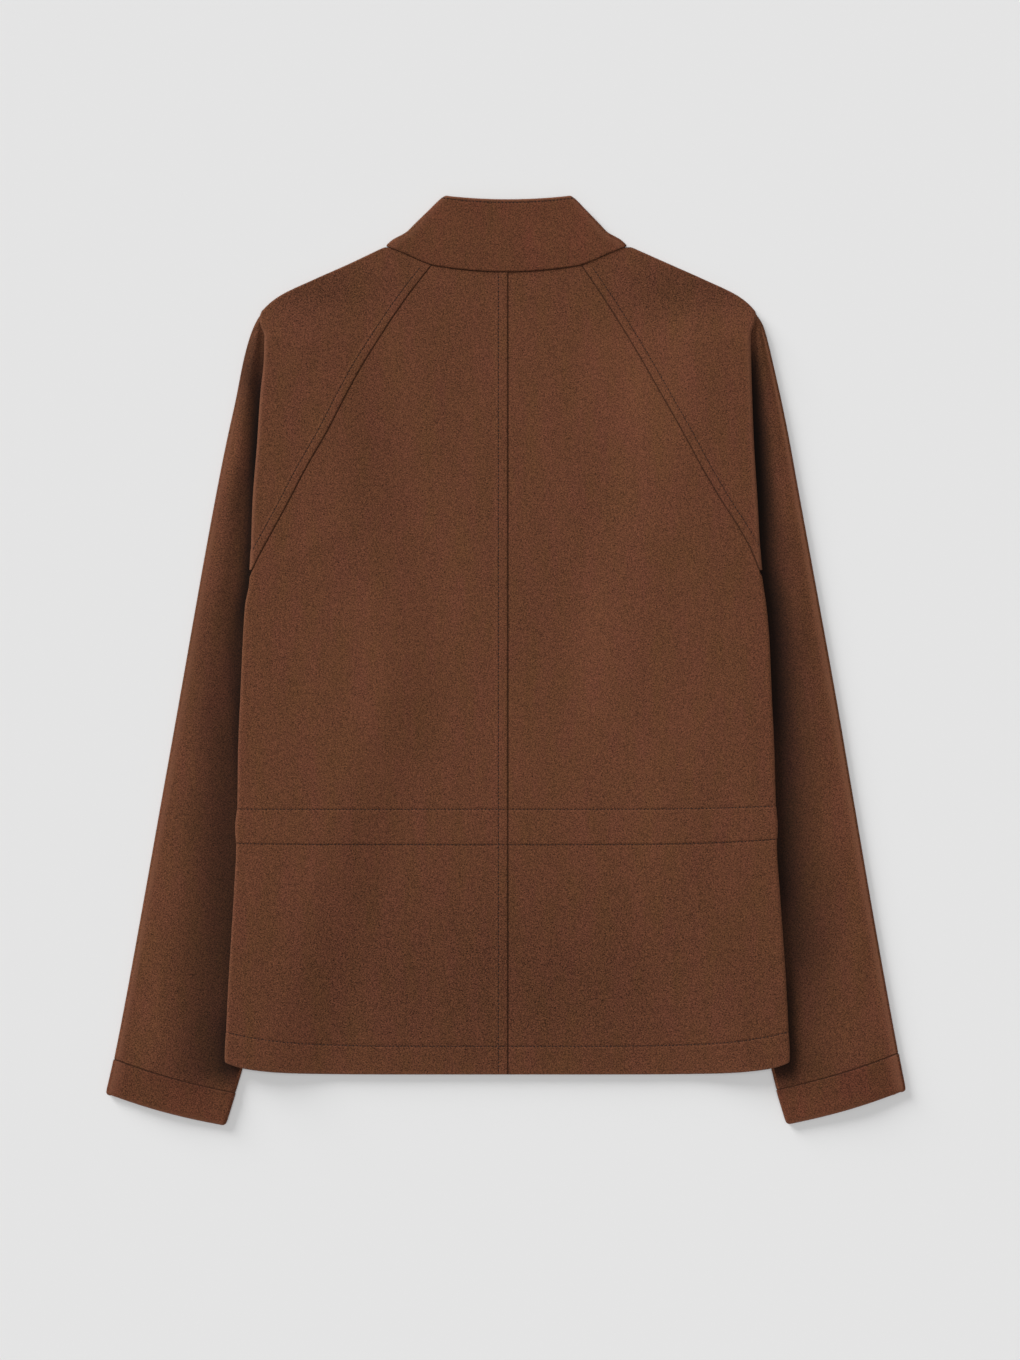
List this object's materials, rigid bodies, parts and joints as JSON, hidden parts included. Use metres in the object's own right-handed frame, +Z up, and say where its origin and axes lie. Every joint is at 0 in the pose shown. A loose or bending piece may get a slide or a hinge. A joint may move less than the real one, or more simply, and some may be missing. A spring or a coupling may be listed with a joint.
{
  "type": "suede jacket laid flat",
  "caption": "Suede jacket with raglan sleeves, stand collar, waist channel and cuff bands, lying flat with its back up and its arms lowered.",
  "frame": {"origin": "middle of the jacket's outline, on the surface that it lies on", "axes": "+Z up from the surface, +Y from the hem to the collar, +X to the right as seen from above, on the side of the arm that is right in the picture"},
  "size_m": [0.656, 0.7624, 0.0108],
  "materials": {
    "suede": "matt brown suede with a fine nap",
    "suede_band": "matt brown suede, two layers sewn together"
  },
  "bodies": {
    "root": {"back_left": "suede", "back_right": "suede", "front_left": "suede", "front_right": "suede", "sleeve_left": "suede", "sleeve_right": "suede", "cuff_left": "suede_band", "cuff_right": "suede_band", "collar": "suede_band"}
  },
  "joints": []
}
